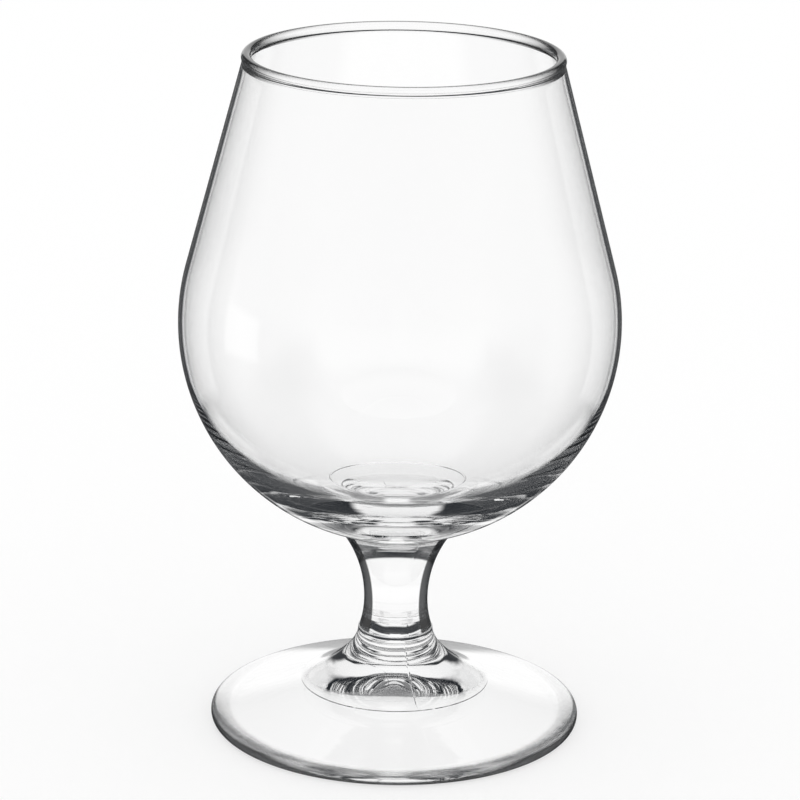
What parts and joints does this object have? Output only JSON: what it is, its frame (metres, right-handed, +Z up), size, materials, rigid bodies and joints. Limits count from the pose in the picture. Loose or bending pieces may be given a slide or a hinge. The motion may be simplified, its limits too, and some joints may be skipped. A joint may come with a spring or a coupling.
{
  "type": "beer snifter",
  "caption": "Clear glass beer snifter: a globe bowl that tapers to a beaded mouth, on a short waisted stem and a conical round foot.",
  "frame": {"origin": "on the table, at the centre of the foot's resting ring", "axes": "+Z up along the axis of the stem and bowl, towards the mouth; the glass is round, so +X and +Y are any two sideways directions"},
  "size_m": [0.0922, 0.0922, 0.145],
  "materials": {
    "soda_lime_glass": "clear soda-lime glass, fire-polished, smooth and glossy"
  },
  "bodies": {
    "root": {"bowl": "soda_lime_glass", "stem": "soda_lime_glass", "foot": "soda_lime_glass"}
  },
  "joints": []
}
